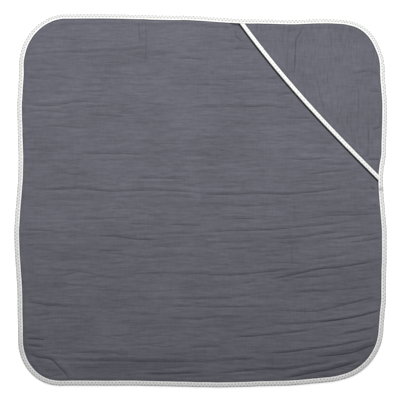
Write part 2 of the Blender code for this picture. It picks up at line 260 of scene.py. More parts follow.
# %% The hinge lines
joints = {joint["name"]: joint for joint in frame["joints"]}
APEX = np.array(joints["diagonal_fold"]["pos_m"][:2]) / MM
FOLD_DIRECTION = np.array(joints["diagonal_fold"]["axis"][:2])
FOLD_RIGHT = np.array((-FOLD_DIRECTION[1], FOLD_DIRECTION[0]))
print("apex at", APEX.round(1), "fold towards", FOLD_DIRECTION.round(3))


def from_fold(x, y):
    """How far each point lies to the right of the fold line, in millimetres."""
    return (x - APEX[0]) * FOLD_RIGHT[0] + (y - APEX[1]) * FOLD_RIGHT[1]


def hood_depth(x, y):
    """How far each point lies inside the hood's free edge, towards the corner."""
    start, end = hood_line((0.0, 1.0))
    length = np.linalg.norm(end - start)
    along = (end - start) / length
    share = ((x - start[0]) * along[0] + (y - start[1]) * along[1]) / length
    places = np.linspace(-1.5, 2.5, 401)
    line = hood_line(places)
    base = np.interp(share, places, line[:, 0]), np.interp(share, places, line[:, 1])
    return (x - base[0]) * -along[1] + (y - base[1]) * along[0] + HOOD_TAPE_WIDTH / 2

# %% Distances from the edge
outline = edge_line(np.arange(0.0, PERIMETER, 1.0), 0.0)
outline_tree = KDTree(len(outline))
for index, (x, y) in enumerate(outline):
    outline_tree.insert((x, y, 0.0), index)
outline_tree.balance()


def edge_depth(x, y):
    """How far inside the towel's outer edge each point lies."""
    flat = np.stack((np.ravel(x), np.ravel(y)), axis=1)
    return np.array([outline_tree.find((px, py, 0.0))[2] for px, py in flat]).reshape(np.shape(x))

# %% [markdown]
# ## Crinkles
#
# Muslin shrinks in the wash more one way than the other, so it gathers into long fine
# wrinkles that all run across the towel, and into a few deeper creases where it was folded.
# A cloth simulation would give some wrinkles but not these ones in these places. So the
# cloth is a height map instead: streaks of smooth random noise, drawn out along one
# direction, plus creases laid along curves. The creases climb a little towards the right
# side, so both are measured along that flow and not straight across.

# %% Streaks
def streaks(x, y, length, width, seed):
    """Smooth noise in -1..1, drawn out along x. Each row starts at its own random place."""
    chance = np.random.default_rng(seed)
    table = chance.uniform(-1, 1, (512, 128))
    starts = chance.uniform(0, 128, 512)
    row = np.floor(y / width).astype(int)

    def on_row(index):
        across = x / length + starts[index % 512]
        column = np.floor(across).astype(int)
        share = ease(across - column)
        return (table[index % 512, column % 128] * (1 - share)
                + table[index % 512, (column + 1) % 128] * share)

    share = ease(y / width - row)
    return on_row(row) * (1 - share) + on_row(row + 1) * share


def flow_rise(x, y):
    """How far the wrinkles have climbed, at this place, from where they lie on the left."""
    climb = 0.20 - 0.10 * np.clip((y + 250) / 250, 0, 1)
    return climb * np.maximum(x - 120, 0) ** 2 / 510

# %% Creases
FAR_ASIDE = 9.0                 # millimetres, well past a crease's dark line


def smooth_curve(points, steps=10):
    """A Catmull-Rom curve through a crease's points."""
    points = np.array(points, float)
    ends = [2 * points[0] - points[1], *points, 2 * points[-1] - points[-2]]
    curve = []
    for a, b, c, d in zip(ends, ends[1:], ends[2:], ends[3:]):
        for t in np.linspace(0, 1, steps, endpoint=False):
            curve.append(0.5 * (2 * b + (c - a) * t + (2 * a - 5 * b + 4 * c - d) * t * t
                                + (3 * b - a - 3 * c + d) * t ** 3))
    return np.array(curve + [points[-1]])


def press_creases(x, y, creases, height):
    """Press each crease (points, depth, half width, darkness) into a height map: a narrow
    valley with a low lip above it, both fading out at its ends. Returns the painted shade of
    the nearest crease, 0 to 1, and how far to its left each point lies, for a crisp line."""
    shade, aside = np.zeros(x.shape), np.full(x.shape, FAR_ASIDE)
    for points, depth, half_width, darkness in creases:
        curve = smooth_curve(points)
        reach = 5 * half_width + 2
        low, high = curve.min(axis=0) - reach, curve.max(axis=0) + reach
        near = (x > low[0]) & (x < high[0]) & (y > low[1]) & (y < high[1])
        if not near.any():
            continue
        px, py = x[near], y[near]
        lengths = np.linalg.norm(np.diff(curve, axis=0), axis=1)
        travelled = np.concatenate(([0], np.cumsum(lengths)))
        best = np.full(px.shape, np.inf)
        side, place = np.zeros(px.shape), np.zeros(px.shape)
        for index, (start, step) in enumerate(zip(curve, np.diff(curve, axis=0))):
            length = lengths[index]
            from_x, from_y = px - start[0], py - start[1]
            share = np.clip((from_x * step[0] + from_y * step[1]) / length ** 2, 0, 1)
            away_x, away_y = from_x - share * step[0], from_y - share * step[1]
            away = np.hypot(away_x, away_y)
            closer = away < best
            best = np.where(closer, away, best)
            turned = step[0] * away_y - step[1] * away_x
            side = np.where(closer, np.sign(turned) * away, side)
            place = np.where(closer, travelled[index] + share * length, place)
        total = travelled[-1]
        fade = ease(place / (0.22 * total)) * ease((total - place) / (0.22 * total))
        valley = np.exp(-(best / half_width) ** 2)
        lip = 0.55 * np.exp(-((side - 2.3 * half_width) / (1.5 * half_width)) ** 2)
        height[near] += depth * fade * (lip - valley)
        strength = darkness * fade * np.exp(-(best / 5.0) ** 2)
        stronger = strength > shade[near]
        shade[near] = np.where(stronger, strength, shade[near])
        aside[near] = np.where(stronger, side, aside[near])
    return shade, aside


def scattered_creases(count, seed, area, length, depth, upright=False):
    """Random creases that follow the flow, or stand upright, within an area."""
    chance = np.random.default_rng(seed)
    creases = []
    for _ in range(count):
        x, y = chance.uniform(area[0], area[1]), chance.uniform(area[2], area[3])
        long, deep = chance.uniform(*length), chance.uniform(*depth)
        steps = np.linspace(-0.5, 0.5, 4) * long
        wander = chance.normal(0, 0.02 * long, 4)
        if upright:
            points = np.stack((x + wander, y + steps), axis=1)
        else:
            base = flow_rise(np.full(4, x), np.full(4, y))
            points = np.stack((x + steps, y + wander + flow_rise(x + steps, y) - base), axis=1)
        creases.append((points, deep, chance.uniform(1.4, 2.3), min(deep * 0.36, 0.3)))
    return creases

# %% The creases that everyone would notice, in millimetres
PANEL_CREASES = [
    # Below the hood, from the middle to the right side.
    (((-20, -66), (62, -61), (140, -59), (192, -54), (246, -49), (320, -42)), 0.9, 2.4, 0.33),
    (((132, -78), (188, -75), (240, -68), (290, -62)), 0.7, 2.2, 0.30),
    (((256, -79), (304, -73), (366, -65)), 0.7, 2.0, 0.33),
    (((296, -86), (366, -76)), 0.6, 1.8, 0.25),
    (((-30, -146), (43, -150), (92, -148), (132, -144), (190, -137)), 0.8, 2.2, 0.33),
    (((124, -162), (160, -155), (188, -149), (240, -138), (280, -134), (320, -128),
      (372, -119)), 1.1, 2.2, 0.48),
    (((204, -121), (256, -115), (310, -105)), 0.5, 2.4, 0.17),
    (((168, -157), (230, -153), (292, -148)), 0.5, 2.2, 0.19),
    (((76, -168), (120, -162)), 0.5, 3.4, 0.17),
    (((165, -187), (216, -183), (256, -182), (296, -178), (366, -173)), 0.7, 2.4, 0.27),
    (((-20, -196), (48, -196), (84, -192), (110, -188)), 0.6, 2.4, 0.23),
    (((-20, -213), (52, -214), (136, -213)), 0.6, 2.6, 0.20),
    (((140, -219), (216, -223), (256, -218), (296, -208), (328, -200),
      (366, -193)), 0.8, 2.2, 0.33),
    (((-20, -237), (40, -236), (100, -236)), 0.6, 2.6, 0.20),
    (((140, -249), (184, -248), (240, -244), (280, -239)), 0.8, 2.0, 0.28),
    (((226, -246), (280, -239), (320, -232), (372, -218)), 1.3, 2.1, 0.74),
    (((84, -259), (136, -255)), 0.5, 2.2, 0.17),
    (((60, -272), (96, -273), (132, -270), (184, -265), (244, -257)), 0.8, 2.1, 0.33),
    (((272, -271), (320, -262), (366, -250)), 0.7, 2.1, 0.33),
    (((-30, -294), (44, -293)), 0.6, 4.0, 0.22),
    (((110, -309), (168, -305), (208, -300), (240, -296), (280, -290), (320, -282),
      (364, -273)), 1.0, 2.2, 0.41),
    (((30, -322), (117, -317)), 0.8, 2.6, 0.28),
    (((226, -314), (280, -309), (312, -303), (332, -295), (360, -287)), 1.4, 3.4, 0.74),
    (((20, -349), (80, -343), (132, -339), (180, -338), (224, -330),
      (286, -321)), 1.0, 2.4, 0.39),
    (((158, -359), (224, -346), (256, -340), (296, -329), (330, -319)), 1.4, 3.0, 0.74),
    (((24, -39), (80, -37), (140, -35)), 0.6, 2.6, 0.25),
    (((196, -38), (256, -31), (312, -29), (366, -27)), 0.7, 2.4, 0.30),
    (((-30, 13), (52, 12), (112, 14), (168, 12), (208, 15), (248, 19), (288, 25),
      (332, 29)), 0.9, 2.4, 0.36),
    (((214, 52), (256, 57), (300, 61)), 0.6, 2.2, 0.30),
    (((166, 85), (208, 82), (240, 84), (268, 86)), 0.7, 2.2, 0.34),
    (((238, 73), (280, 72), (312, 75)), 0.6, 2.0, 0.28),
    (((339, 26), (352, 22)), 0.8, 2.4, 0.47),
    (((341, -9), (352, -10)), 0.7, 2.2, 0.39),
    (((183, -76), (183, -106), (183, -136)), 0.4, 1.8, 0.17),
    (((188, 13), (188, -30), (188, -64)), 0.4, 2.0, 0.12),
    # To the left of the hood.
    (((68, 342), (73, 328), (85, 318)), 0.9, 2.0, 0.39),
    (((62, 304), (105, 304)), 0.6, 2.0, 0.27),
    (((133, 245), (155, 245)), 0.6, 2.0, 0.23),
    (((-20, 240), (60, 242), (140, 244)), 0.5, 2.8, 0.16),
    (((150, 209), (188, 217)), 0.5, 2.2, 0.23),
    (((-20, 186), (52, 188), (108, 188), (136, 190), (168, 186), (206, 185)), 0.8, 2.8, 0.28),
    (((170, 164), (226, 165)), 0.6, 2.2, 0.27),
    (((-71, 142), (-14, 142)), 0.5, 2.2, 0.20),
    (((-54, 286), (-11, 284), (16, 279)), 0.6, 2.2, 0.28),
    (((-124, 364), (-123, 336), (-121, 320)), 0.6, 2.0, 0.30),
    (((-110, 364), (-109, 320), (-111, 272)), 0.6, 2.2, 0.27),
    (((-352, 191), (-292, 190), (-256, 197), (-220, 198), (-196, 191)), 1.3, 3.2, 0.30),
    (((-222, 174), (-188, 170), (-150, 168)), 0.6, 2.6, 0.22),
    (((-348, 246), (-316, 244)), 0.5, 2.4, 0.20),
    (((-244, 94), (-188, 94), (-147, 94), (-105, 90)), 0.6, 2.4, 0.23),
    (((-352, 98), (-312, 99), (-278, 97)), 0.6, 2.4, 0.17),
    (((-135, 45), (-67, 44), (-20, 43)), 0.5, 2.2, 0.23),
    (((-362, 22), (-308, 21), (-240, 23), (-180, 18), (-123, 20), (-51, 19),
      (20, 13)), 1.0, 2.6, 0.30),
    # The lower left, where the corner has been folded once.
    (((-360, -59), (-280, -61)), 0.7, 2.2, 0.30),
    (((-208, -71), (-163, -73), (-131, -78), (-78, -80)), 0.6, 2.2, 0.30),
    (((-152, -47), (-99, -49), (-60, -53)), 0.5, 2.2, 0.22),
    (((-62, -49), (8, -50)), 0.6, 2.0, 0.28),
    (((-208, -101), (-152, -101)), 0.6, 1.8, 0.33),
    (((-79, -66), (0, -66)), 0.6, 2.2, 0.23),
    (((-292, -152), (-264, -148), (-248, -144), (-224, -146), (-204, -151),
      (-176, -154)), 0.7, 2.0, 0.27),
    (((-151, -147), (-111, -148), (-75, -146), (-31, -147), (12, -148)), 0.6, 2.0, 0.27),
    (((-280, -168), (-248, -171), (-200, -174), (-168, -172)), 0.5, 2.0, 0.19),
    (((-356, -203), (-320, -208), (-296, -212), (-248, -214)), 0.8, 3.2, 0.27),
    (((-70, -213), (-12, -213)), 0.6, 2.0, 0.23),
    (((-72, -236), (14, -239)), 0.6, 2.0, 0.28),
    (((-350, -277), (-310, -280)), 1.0, 2.0, 0.48),
    (((-348, -291), (-314, -294)), 0.8, 2.0, 0.41),
    (((-264, -306), (-212, -305), (-150, -306)), 0.6, 2.2, 0.23),
    (((-350, -306), (-326, -314), (-300, -319), (-284, -334), (-268, -351),
      (-262, -368)), 1.4, 3.0, 0.66),
    (((-306, -320), (-240, -323), (-171, -322), (-91, -324), (12, -324),
      (70, -324)), 1.0, 3.4, 0.22),
    (((-290, -335), (-200, -336), (-100, -334), (0, -336)), 0.8, 7.0, 0.12),
    (((-118, -348), (-51, -348), (14, -345)), 0.8, 2.4, 0.36),
]
HOOD_CREASES = [
    (((209, 356), (201, 337), (192, 320), (190, 285), (186, 243)), 1.1, 2.4, 0.43),
    (((206, 262), (206, 228)), 0.6, 2.0, 0.23),
    (((234, 246), (240, 210), (250, 178)), 0.8, 2.2, 0.30),
    (((306, 204), (302, 150), (308, 108)), 0.6, 3.0, 0.19),
    (((336, 154), (337, 118), (335, 80)), 0.9, 2.4, 0.33),
    (((334, 82), (364, 82)), 0.8, 2.0, 0.39),
    (((302, 254), (341, 259), (360, 250)), 0.8, 2.6, 0.28),
    (((334, 221), (364, 217)), 0.6, 2.2, 0.28),
    (((344, 140), (366, 150)), 0.7, 2.8, 0.28),
    (((274, 344), (290, 305)), 0.6, 2.6, 0.20),
]
WHOLE_PANEL = (-365, 365, -365, 365)
SCATTERED = scattered_creases(250, 11, WHOLE_PANEL, (40, 170), (0.14, 0.42))
TICKS = scattered_creases(120, 12, (-360, 360, -360, 360), (8, 26), (0.10, 0.28), upright=True)
HOOD_SCATTERED = scattered_creases(46, 13, (100, 365, 60, 365), (22, 80), (0.18, 0.5),
                                   upright=True)

# %% The panel's height map
WRINKLES = ((0.42, 190, 15), (0.28, 88, 6.2), (0.16, 38, 4.1))     # height, length, width


def swell(x, y):
    """The slow rise and fall of the whole towel, and a low roll along its bottom edge. Both
    die out at the fold and at the hood."""
    slow = 0.5 + 0.5 * streaks(x, y - flow_rise(x, y), 210, 62, 21)
    roll = ease((y + 372) / 62) * (1 - ease((y + 305) / 130))
    away_from_fold = ease((np.abs(from_fold(x, y)) - 25) / 60)
    away_from_hood = ease((-hood_depth(x, y) - 6) / 70)
    return (2.6 * slow + 2.4 * roll) * away_from_fold * away_from_hood


def beside_tape(depth, puff):
    """Beside a tape's inner edge: the share of its relief that the cloth keeps, how far it
    puffs up, and the share of its creases' painted shade."""
    from_tape = depth - TAPE_WIDTH
    return (ease((from_tape + 1.5) / 9.0), puff * np.exp(-((from_tape - 6.0) / 3.2) ** 2),
            ease((from_tape + 1) / 3))


def crinkles(x, y, depth, seed, creases):
    """The muslin's relief in millimetres, the painted shade of its creases, 0 to 1, and how far
    to the left of the nearest one each point lies."""
    flow = y - flow_rise(x, y)
    relief = sum(height * streaks(x, flow, length, width, seed + place)
                 for place, (height, length, width) in enumerate(WRINKLES))
    relief = relief + 0.09 * streaks(y, x, 24, 5.0, seed + len(WRINKLES))
    shade, aside = press_creases(x, y, creases, relief)
    held, puff, shown = beside_tape(depth, 0.5)
    return (relief + 0.35) * held + puff, shade * shown, aside


print("creases laid:", len(PANEL_CREASES) + len(SCATTERED) + len(TICKS), "on the panel and",
      len(HOOD_CREASES) + len(HOOD_SCATTERED), "on the hood")

# %% [markdown]
# ## Thin solids from grids
#
# Each cloth is a grid of points whose seen side carries the crinkles. Its hidden side is
# smoother, and mostly coarser, so that the detail goes where it is seen. The two sides are
# closed round the rim. The flat pattern is kept as the UV map, in metres, so a weave that is
# drawn on it bends with the cloth when the towel folds.

# %% Meshes from arrays
# The materials read these marks to place painted shade: crease darkness and the side of its core,
# the depth from the edge for the seam, and the distance from the hood's free edge.
MARKS = ("crease", "aside", "rim", "gap")       # what the finishes read from the mesh


def cloth_object(name, points, faces, uv=None, attributes=()):
    """A mesh from millimetre points. uv holds a pair for each corner of each face, and is
    the flat place of that corner where it is left out."""
    if uv is None:
        uv = points[np.concatenate(faces), :2] * MM
    mesh = bpy.data.meshes.new(name)
    mesh.from_pydata((points * MM).tolist(), [], faces)
    layer = mesh.uv_layers.new(name="pattern")
    layer.data.foreach_set("uv", np.ravel(uv).astype(np.float32))
    for title, values in attributes:
        made = mesh.attributes.new(title, "FLOAT", "POINT")
        made.data.foreach_set("value", np.ravel(values).astype(np.float32))
    mesh.shade_smooth()
    mesh.set_sharp_from_angle(angle=math.radians(55))
    made = bpy.data.objects.new(name, mesh)
    bpy.context.scene.collection.objects.link(made)
    return made


def grid_faces(rows, columns, first=0, flipped=False):
    index = first + np.arange((rows + 1) * (columns + 1)).reshape(rows + 1, columns + 1)
    corners = (index[:-1, :-1], index[:-1, 1:], index[1:, 1:], index[1:, :-1])
    quads = np.stack(corners, axis=-1).reshape(-1, 4)
    return quads[:, ::-1] if flipped else quads


def cloth_solid(name, x, y, top, low, step, marks=(), fine_side_up=True):
    """A closed thin cloth. x, y, top and low are grids; the plain side takes every step-th
    point. The fine side is the top one, or the underside where fine_side_up is false. marks
    are the grids that MARKS names."""
    rows, columns = x.shape[0] - 1, x.shape[1] - 1
    fine, plain = (top, low) if fine_side_up else (low, top)
    coarse = (slice(None, None, step), slice(None, None, step))
    plain_side = np.stack((x, y, plain), axis=-1)[coarse]
    points = np.concatenate((np.stack((x, y, fine), axis=-1).reshape(-1, 3),
                             plain_side.reshape(-1, 3)))
    first = x.size
    index = np.arange(first).reshape(rows + 1, columns + 1)
    under = first + np.arange(x[coarse].size).reshape(x[coarse].shape)
    faces = grid_faces(rows, columns, 0, not fine_side_up).tolist()
    faces += grid_faces(under.shape[0] - 1, under.shape[1] - 1, first, fine_side_up).tolist()
    sides = ((index[0], under[0]), (index[:, -1], under[:, -1]),
             (index[-1, ::-1], under[-1, ::-1]), (index[::-1, 0], under[::-1, 0]))
    for fine_line, plain_line in sides:
        for place in range(len(plain_line) - 1):
            upper = fine_line[place * step:(place + 1) * step + 1][::-1].tolist()
            rim = upper + [int(plain_line[place]), int(plain_line[place + 1])]
            faces.append(rim if fine_side_up else rim[::-1])
    extra = [(title, np.concatenate((values.ravel(), values[coarse].ravel())))
             for title, values in zip(MARKS, marks)]
    return cloth_object(name, points, faces, attributes=extra)

# %% [markdown]
# ## The panel
#
# The towel itself is two plies of muslin, cut to one rounded square. Its grid is stretched
# between the four sides, corner to corner, so its rows run along the wrinkles. The upper
# ply is fine enough to carry each wrinkle as real relief. It lies flat under the hood.

# %% A grid over the rounded square
CUT_INSET, NOTCH_INSET = 3.0, 9.6       # how far the plies stop inside the tape's fold
NOTCH_REACH, NOTCH_RAMP = 12, 16


def inward_at(places):
    return np.array([edge_inward(u) for u in places])


def cut_line(places):
    """A ply's cut edge, inside the tape. It is notched back nearly to the tape's inner edge
    where the towel folds, so that the bent plies stay inside the tape."""
    edge = edge_line(places, 0.0)
    notch = 1 - ease((np.abs(from_fold(*edge.T)) - NOTCH_REACH) / NOTCH_RAMP)
    return edge + (CUT_INSET + (NOTCH_INSET - CUT_INSET) * notch)[:, None] * inward_at(places)


def panel_grid(rows, columns):
    """x and y over the panel: a Coons patch between the four sides of the outline."""
    middles = [run_start(2 * k + 1) + RUNS[2 * k + 1][0] / 2 for k in range(4)]
    right_low, right_high, left_high, left_low = middles
    bottom = cut_line(np.linspace(left_low - PERIMETER, right_low, columns + 1))
    right = cut_line(np.linspace(right_low, right_high, rows + 1))
    top = cut_line(np.linspace(left_high, right_high, columns + 1))
    left = cut_line(np.linspace(left_low, left_high, rows + 1))
    s = np.linspace(0, 1, columns + 1)[None, :, None]
    t = np.linspace(0, 1, rows + 1)[:, None, None]
    flat = ((1 - t) * bottom[None] + t * top[None] + (1 - s) * left[:, None] + s * right[:, None]
            - (1 - s) * (1 - t) * bottom[0] - s * (1 - t) * bottom[-1] - (1 - s) * t * top[0]
            - s * t * top[-1])
    return flat[..., 0], flat[..., 1]

# %% The face cloth
PLY = 0.5
BACK_LOW, FACE_LOW = 0.8, 1.6           # the level of each ply's underside
FACE_GRID, BACK_GRID = (356, 188), (264, 140)
FACE_RELIEF, BACK_RELIEF = (-0.25, 2.4), (-0.2, 0.62)       # the least and the most
FOLD_SLACK = 0.2                        # how much the face's underside sags beside the fold
x, y = panel_grid(*FACE_GRID)
depth = edge_depth(x, y)
relief, shade, aside = crinkles(x, y, depth, 31, PANEL_CREASES + SCATTERED + TICKS)
beside_hood = ease((-hood_depth(x, y) - 1.0) / 8.0)
wave_height = swell(x, y)
face_top = FACE_LOW + PLY + wave_height + np.clip(relief, *FACE_RELIEF) * beside_hood
face_low = FACE_LOW + wave_height - FOLD_SLACK * (1 - ease((np.abs(from_fold(x, y)) - 12) / 10))
face_cloth = cloth_solid("panel_face_cloth", x, y, face_top, face_low, 2,
                         (shade * beside_hood, aside, depth, -hood_depth(x, y)))
print("face cloth:", len(face_cloth.data.polygons), "faces, tops from", face_top.min().round(2),
      "to", face_top.max().round(2), "mm")

# %% The back cloth
x, y = panel_grid(*BACK_GRID)
depth = edge_depth(x, y)
back_creases = scattered_creases(260, 14, WHOLE_PANEL, (26, 105), (0.2, 0.6))
relief, shade, aside = crinkles(x, y, depth, 41, back_creases)
LABEL_MIDDLE, LABEL_CLEAR = (-325.0, -112.5), (40, 24)
beyond_label = np.maximum(np.abs(x - LABEL_MIDDLE[0]) - LABEL_CLEAR[0],
                          np.abs(y - LABEL_MIDDLE[1]) - LABEL_CLEAR[1])
beside_label = ease(beyond_label / 12)
wave_height = swell(x, y)
back_low = BACK_LOW + wave_height - np.clip(relief * 0.45, *BACK_RELIEF) * beside_label
no_gap = np.full(x.shape, 100.0)
back_cloth = cloth_solid("panel_back_cloth", x, y, BACK_LOW + PLY + wave_height, back_low, 1,
                         (shade, aside, depth, no_gap), fine_side_up=False)
print("back cloth:", len(back_cloth.data.polygons), "faces")

# %% [markdown]
# ## The binding tape
#
# A strip of white jersey is folded in half over the raw edges and sewn down. Its section is
# a flat U, open towards the cloth, and it is swept round the whole outline as one closed
# ring. Rows of tiny knitted holes run along it, so the tape's top is dimpled at each hole,
# and the material paints shade into the same places. Its colour is also painted lighter
# along the stitched edge and darker towards the fold. The tape also steps up where it wraps
# the hood.

# %% The tape's section
TAPE = 0.5                              # the tape's own thickness
STITCH_DEPTH = 8.6                      # how far inside its fold it is sewn
HOLE_PERIOD, HOOD_HOLE_PERIOD = 6.86, 6.75
HOLE_REACH, HOLE_PULL = 1.25, 0.24
EDGE_HOLE_ROWS = ((2.3, 0.0), (6.2, 0.5))       # depth from the fold, phase along the tape
HOOD_HOLE_ROWS = ((4.0, 0.0),)
TOP_DEPTHS = (10.0, 9.7, 9.2, 8.6, 8.0, 7.2, 6.6, 6.0, 5.3, 4.6, 3.9, 3.2, 2.6, 2.0, 1.3, 0.6)
UNDER_DEPTHS = (0.5, 1.6, 3.5, 5.5, 7.6, 9.2, 10.0)
INSIDE_DEPTHS = (10.0, 7.5, 4.0, 1.6)


def tape_section(low, top):
    """Depths and heights round the U for arrays of low and top levels, (stations, points)."""
    middle, half = (low + top) / 2, (top - low) / 2

    def shoulder(depth):
        return 1.0 - 0.55 * max(0.0, 1.0 - depth / 2.2) ** 2

    def crown(depth):
        seam = math.exp(-((depth - STITCH_DEPTH) / 0.5) ** 2)
        return 0.10 * math.sin(math.pi * min(depth / STITCH_DEPTH, 1.0)) - 0.09 * seam

    section = [(depth, middle + half * shoulder(depth) + crown(depth)) for depth in TOP_DEPTHS]
    section += [(0.0, middle)]
    section += [(depth, middle - half * shoulder(depth)) for depth in UNDER_DEPTHS]
    section += [(depth, low + TAPE) for depth in INSIDE_DEPTHS]
    section += [(0.9, middle)]
    section += [(depth, top - TAPE) for depth in reversed(INSIDE_DEPTHS)]
    depths, heights = zip(*section)
    return np.tile(depths, (len(low), 1)), np.array(heights).T


def dimples(along, depths, rows, period):
    """How far each knitted hole pulls the tape's top down."""
    pull = np.zeros(depths.shape)
    for row_depth, phase in rows:
        off = (along[:, None] / period - phase + 0.5) % 1.0 - 0.5
        away_squared = (off * period) ** 2 + (depths - row_depth) ** 2
        pull += HOLE_PULL * np.exp(-away_squared / HOLE_REACH ** 2)
    pull[:, len(TOP_DEPTHS):] = 0.0
    return pull


def pucker(along, height, seed):
    """Small puckers along a tape's top, one for each station."""
    return np.clip(height * streaks(along, along * 0, 6.5, 5, seed), -0.1, height)[:, None]


def tape_mesh(name, flat, heights, depths, along, closed):
    """A tape from the flat places and the heights of its stations. Its pattern runs along
    it and across it, by its depths."""
    points = np.concatenate((flat, heights[..., None]), axis=2)
    stations, around = points.shape[:2]
    index = np.arange(stations * around).reshape(stations, around)
    after = np.roll(index, -1, axis=0) if closed else index[1:]
    here = index if closed else index[:-1]
    quads = np.stack((here, np.roll(here, -1, axis=1), np.roll(after, -1, axis=1), after), axis=-1)
    faces = quads.reshape(-1, 4).tolist()
    ends = np.append(along[1:], along[-1] + (along[1] - along[0])) if closed else along[1:]
    starts = along if closed else along[:-1]
    v_here = depths if closed else depths[:-1]
    u_start = np.broadcast_to(starts[:, None], here.shape)
    u_end = np.broadcast_to(ends[:, None], here.shape)
    v_next = np.roll(v_here, -1, axis=1)
    uv = np.stack((np.stack((u_start, u_start, u_end, u_end), -1),
                   np.stack((v_here, v_next, v_next, v_here), -1)), -1).reshape(-1, 2)
    if not closed:
        faces += [index[0, ::-1].tolist(), index[-1].tolist()]
        caps = np.concatenate((np.stack((np.full(around, along[0]), depths[0, ::-1]), -1),
                               np.stack((np.full(around, along[-1]), depths[-1]), -1)))
        uv = np.concatenate((uv, caps))
    return cloth_object(name, points.reshape(-1, 3), faces, uv * MM)

# %% The edge tape
CROSSING_REACH, CROSSING_RAMP = 13.0, 10.0
TOP_ON_PANEL, TOP_ON_HOOD, TOP_ON_CROSSING = 2.9, 5.3, 6.1


def edge_top(u):
    """The edge tape's top: low on the panel, higher over the hood, highest at a crossing."""
    beside = np.where((u > SIDE_CROSSING) & (u < TOP_CROSSING), TOP_ON_HOOD, TOP_ON_PANEL)
    nearest = np.minimum(np.abs(u - SIDE_CROSSING), np.abs(u - TOP_CROSSING))
    beyond = ease((nearest - CROSSING_REACH) / CROSSING_RAMP)
    return TOP_ON_CROSSING + (beside - TOP_ON_CROSSING) * beyond


EDGE_PERIOD = PERIMETER / round(PERIMETER / HOLE_PERIOD)
EDGE_STATIONS = 2190
along = np.arange(EDGE_STATIONS) / EDGE_STATIONS * PERIMETER
fold_line = edge_line(along, 0.0)
lift = swell(*fold_line.T)
depths, heights = tape_section(np.zeros(EDGE_STATIONS), edge_top(along))
heights += lift[:, None] - dimples(along, depths, EDGE_HOLE_ROWS, EDGE_PERIOD)
heights[:, :len(TOP_DEPTHS)] += pucker(along, 0.16, 51)
depths += 0.22 * streaks(along, along * 0, 21, 5, 52)[:, None]
flat = fold_line[:, None] + inward_at(along)[:, None] * depths[..., None]
edge_tape = tape_mesh("edge_binding_tape", flat, heights, depths, along, closed=True)
print("edge tape:", len(edge_tape.data.polygons), "faces;",
      round(PERIMETER / EDGE_PERIOD), "holes a row")

# %% [markdown]
# ## Stitches
#
# A lockstitch shows as a row of short threads on each side of the tape. One stitch is
# modelled, a small capsule that dips into the cloth at both ends, and it is copied along
# the tape's inner edge, each copy turned to follow the edge.

# %% One stitch, copied
STITCH_PITCH = 3.0
STITCH_RADIUS, STITCH_STRETCH, STITCH_DIP = 0.2, 6.2, 0.16
NEEDLE_SINK, BOBBIN_SINK = 0.04, 0.02   # how deep the threads lie in the tape
bpy.ops.object.select_all(action="DESELECT")
bpy.ops.mesh.primitive_uv_sphere_add(segments=6, ring_count=5, radius=STITCH_RADIUS,
                                     rotation=(0, math.pi / 2, 0))
template = bpy.context.object
bpy.ops.object.transform_apply(location=False, rotation=True, scale=False)
bpy.ops.object.mode_set(mode="EDIT")
bpy.ops.mesh.select_all(action="SELECT")
bpy.ops.transform.resize(value=(STITCH_STRETCH, 1.0, 0.9))
bpy.ops.object.mode_set(mode="OBJECT")
STITCH_POINTS = np.array([vert.co for vert in template.data.vertices])
STITCH_POINTS[:, 2] -= STITCH_DIP * (STITCH_POINTS[:, 0] / (STITCH_RADIUS * STITCH_STRETCH)) ** 2
STITCH_FACES = [list(face.vertices) for face in template.data.polygons]
bpy.data.objects.remove(template, do_unlink=True)


def stitches(name, places, directions, levels):
    """Stitches at (x, y) places, each lying along its direction at its level."""
    sideways = np.stack((-directions[:, 1], directions[:, 0]), axis=1)
    flat = (places[:, None] + directions[:, None] * STITCH_POINTS[None, :, :1]
            + sideways[:, None] * STITCH_POINTS[None, :, 1:2])
    high = levels[:, None] + STITCH_POINTS[None, :, 2]
    points = np.concatenate((flat, high[..., None]), axis=2).reshape(-1, 3)
    firsts = range(0, len(points), len(STITCH_POINTS))
    return cloth_object(name, points, [[first + vertex for vertex in face]
                                       for first in firsts for face in STITCH_FACES])


count = round(PERIMETER / STITCH_PITCH)
u = np.arange(count) / count * PERIMETER
places = edge_line(u, STITCH_DEPTH)
inward = inward_at(u)
directions = np.stack((inward[:, 1], -inward[:, 0]), axis=1)
lift = swell(*edge_line(u, 0.0).T)
edge_stitches = stitches("edge_top_stitches", places, directions,
                         edge_top(u) + lift - NEEDLE_SINK)
edge_bobbin = stitches("edge_bobbin_stitches", places, directions, lift - BOBBIN_SINK)
print("stitches round the edge:", count)

# %% [markdown]
# ## The hood
#
# The hood is a triangle of the same muslin. Its two outer edges are caught in the edge tape
# and its third edge is bound with its own tape. When the towel folds, the hood's two halves
# swing up and open it into a pocket, so each half is its own piece, and they meet on the
# line from the tip to the middle of the free edge. Each half is a sheet ruled between the
# free edge and the outline, which runs high in the seams and sags between them.

# %% Half a hood
from_tip = [(share, from_fold(*hood_line((share,))[0])) for share in np.linspace(0.3, 0.7, 401)]
MIDDLE_SHARE = min(from_tip, key=lambda pair: abs(pair[1]))[0]
corner_middle = run_start(4) - RUNS[3][0] / 2
CORNER_U = min(np.linspace(corner_middle - 30, corner_middle + 30, 1201),
               key=lambda u: abs(from_fold(*edge_point(u))))
print("the halves meet at share", round(MIDDLE_SHARE, 4), "and at", round(CORNER_U, 1), "mm")
FREE_START, RIM_START = 0.004, 5.0      # past the crossing, as a share and in millimetres


